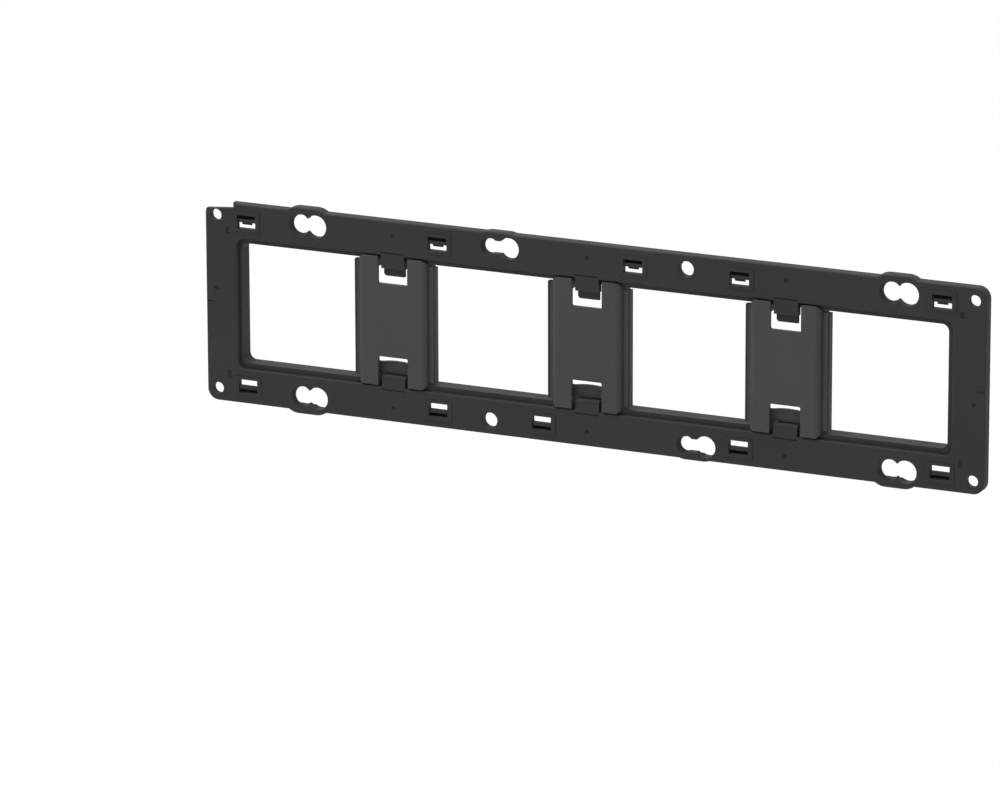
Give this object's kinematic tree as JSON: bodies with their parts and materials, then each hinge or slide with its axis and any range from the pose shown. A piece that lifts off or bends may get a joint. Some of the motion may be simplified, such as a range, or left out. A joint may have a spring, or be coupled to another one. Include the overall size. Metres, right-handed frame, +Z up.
{
  "type": "wall box mounting plate",
  "caption": "Long dark plastic mounting plate with four square windows, snap-in partitions between them, screw slots and clip pockets",
  "frame": {"origin": "centre of the four corner holes, in the plane of the frame's front face", "axes": "+X to the right along the plate, +Y back toward the wall, +Z up"},
  "size_m": [0.2818, 0.0081, 0.072],
  "materials": {
    "frame_plastic": "fine matte moulded grain, near black grey",
    "partition_plastic": "fine matte moulded grain, dark warm grey"
  },
  "bodies": {
    "frame": {"frame": "frame_plastic"},
    "partition_left": {"partition_left": "partition_plastic"},
    "partition_centre": {"partition_centre": "partition_plastic"},
    "partition_right": {"partition_right": "partition_plastic"}
  },
  "joints": [
    {"name": "pull_out_left", "type": "slide", "parent": "frame", "child": "partition_left", "axis": [0, -1, 0], "range_m": [0, 0.014]},
    {"name": "pull_out_centre", "type": "slide", "parent": "frame", "child": "partition_centre", "axis": [0, -1, 0], "range_m": [0, 0.014]},
    {"name": "pull_out_right", "type": "slide", "parent": "frame", "child": "partition_right", "axis": [0, -1, 0], "range_m": [0, 0.014]}
  ]
}
